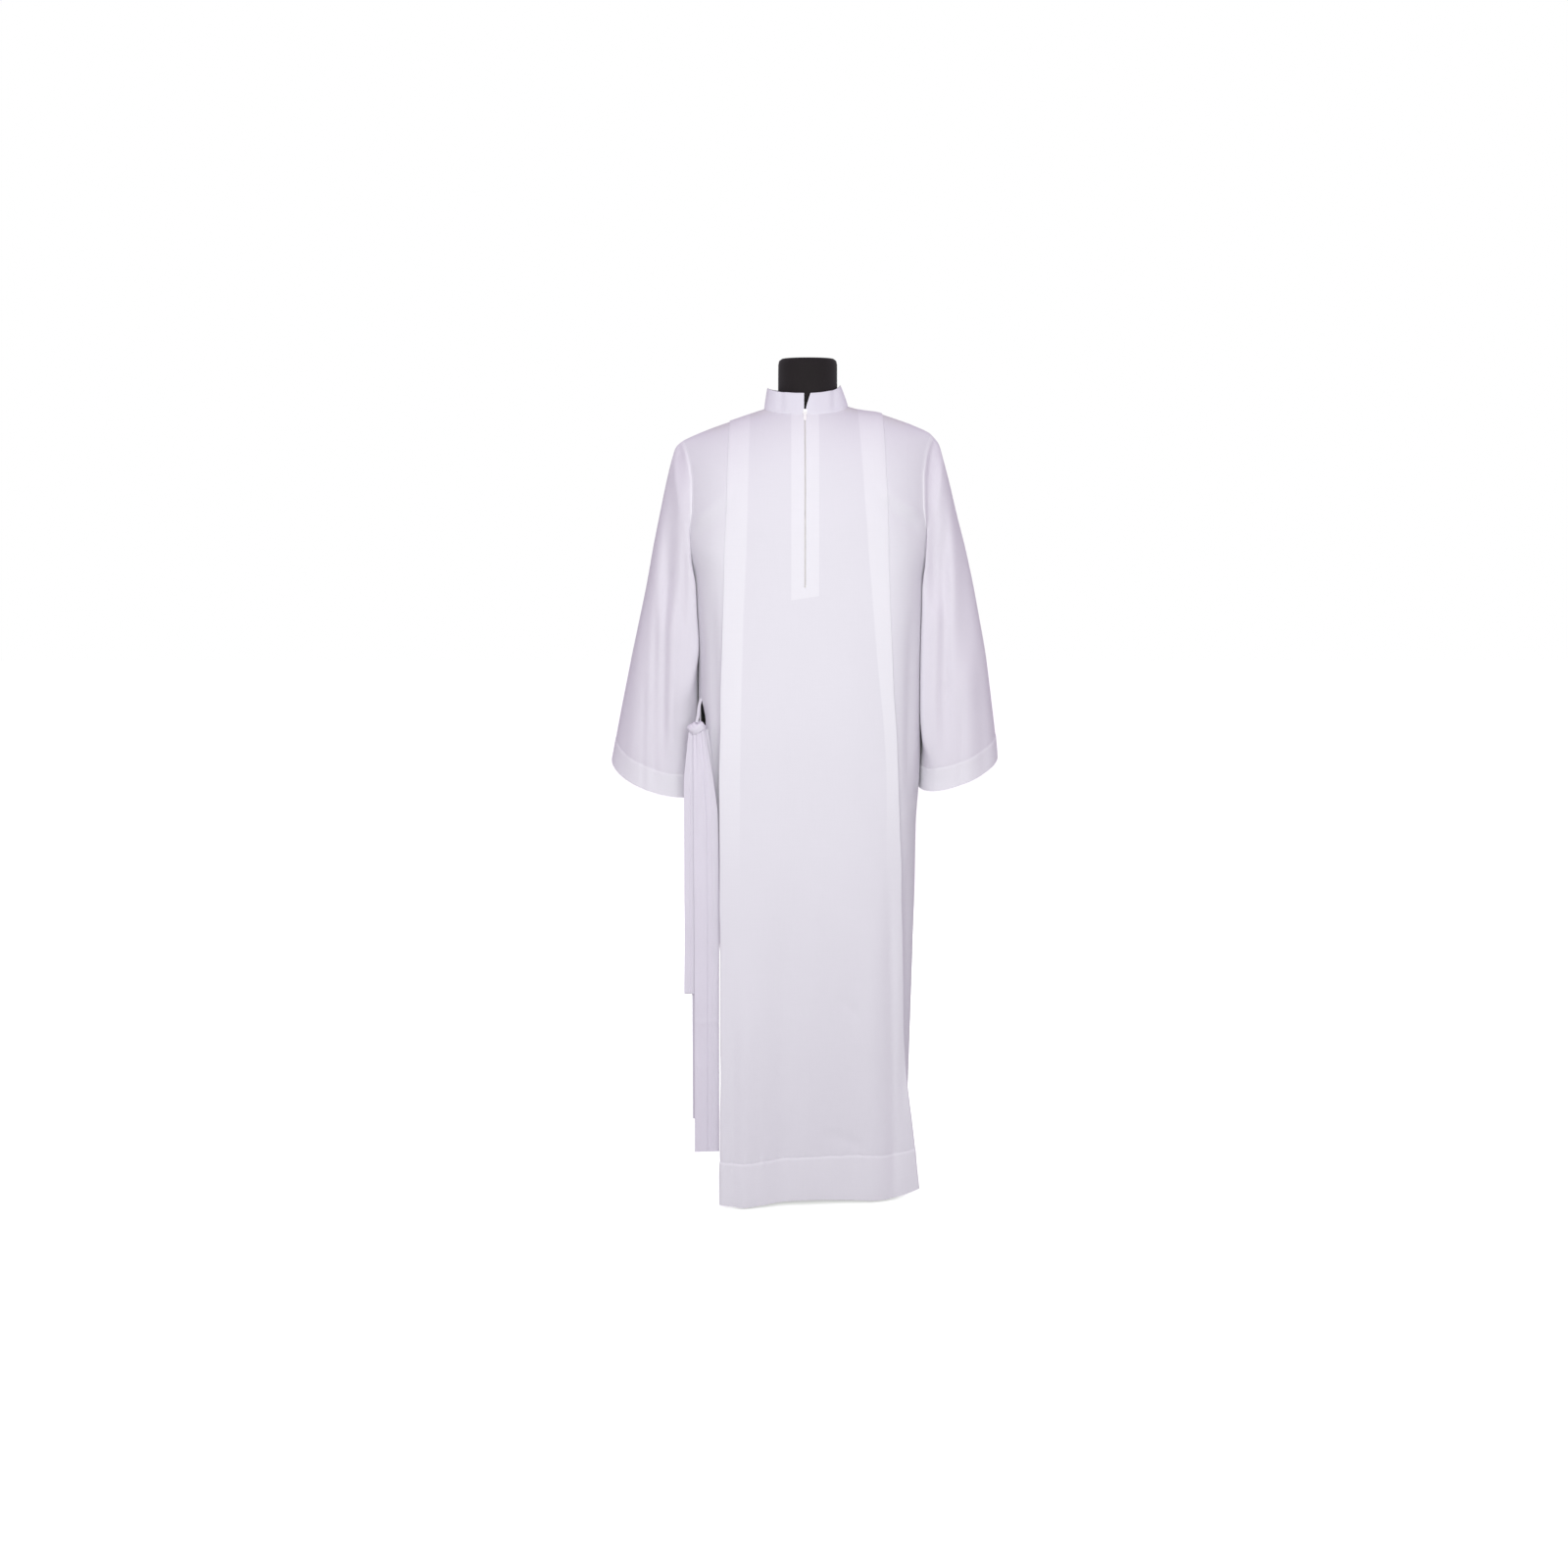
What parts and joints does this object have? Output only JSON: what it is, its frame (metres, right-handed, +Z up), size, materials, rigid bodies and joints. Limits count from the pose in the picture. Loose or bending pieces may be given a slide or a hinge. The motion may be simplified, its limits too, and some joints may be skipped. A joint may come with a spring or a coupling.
{
  "type": "alb on dress form",
  "caption": "Long white vestment with stand collar, front zip, knife pleats, wide sleeves, side slits and knotted cloth sash, on a limbless black dress form.",
  "frame": {"origin": "centre of the stand's flat underside, on the floor under the neck", "axes": "+Z up, -Y out of the alb's front, +X towards the right as seen from the front"},
  "size_m": [0.7294, 0.3041, 1.566],
  "materials": {
    "alb_cloth": "matte woven cloth, slightly see-through",
    "sash_cloth": "matte woven cloth",
    "form_cloth": "matte black jersey",
    "zip_metal": "satin",
    "zip_nylon": "satin",
    "stand_metal": "satin black"
  },
  "bodies": {
    "alb": {"front": "alb_cloth", "back": "alb_cloth", "sleeve_left": "alb_cloth", "sleeve_right": "alb_cloth", "collar": "alb_cloth", "zip_facing": "alb_cloth", "zip_tape": "zip_nylon", "zip_chain": "zip_nylon", "zip_slider": "zip_metal", "belt_loop_left": "alb_cloth", "belt_loop_right": "alb_cloth", "sash_knot": "sash_cloth", "sash_bight": "sash_cloth", "sash_end_front": "sash_cloth", "sash_end_back": "sash_cloth", "form_torso": "form_cloth", "form_plate": "stand_metal", "stand_pole": "stand_metal", "stand_base": "stand_metal"},
    "pull_tab": {"zip_pull_tab": "zip_metal"}
  },
  "joints": [
    {"name": "pull_tab_swing", "type": "hinge", "parent": "alb", "child": "pull_tab", "pos_m": [-0.0055, -0.07395, 1.46803], "axis": [-1, 0, 0], "range_deg": [0, 150]}
  ]
}
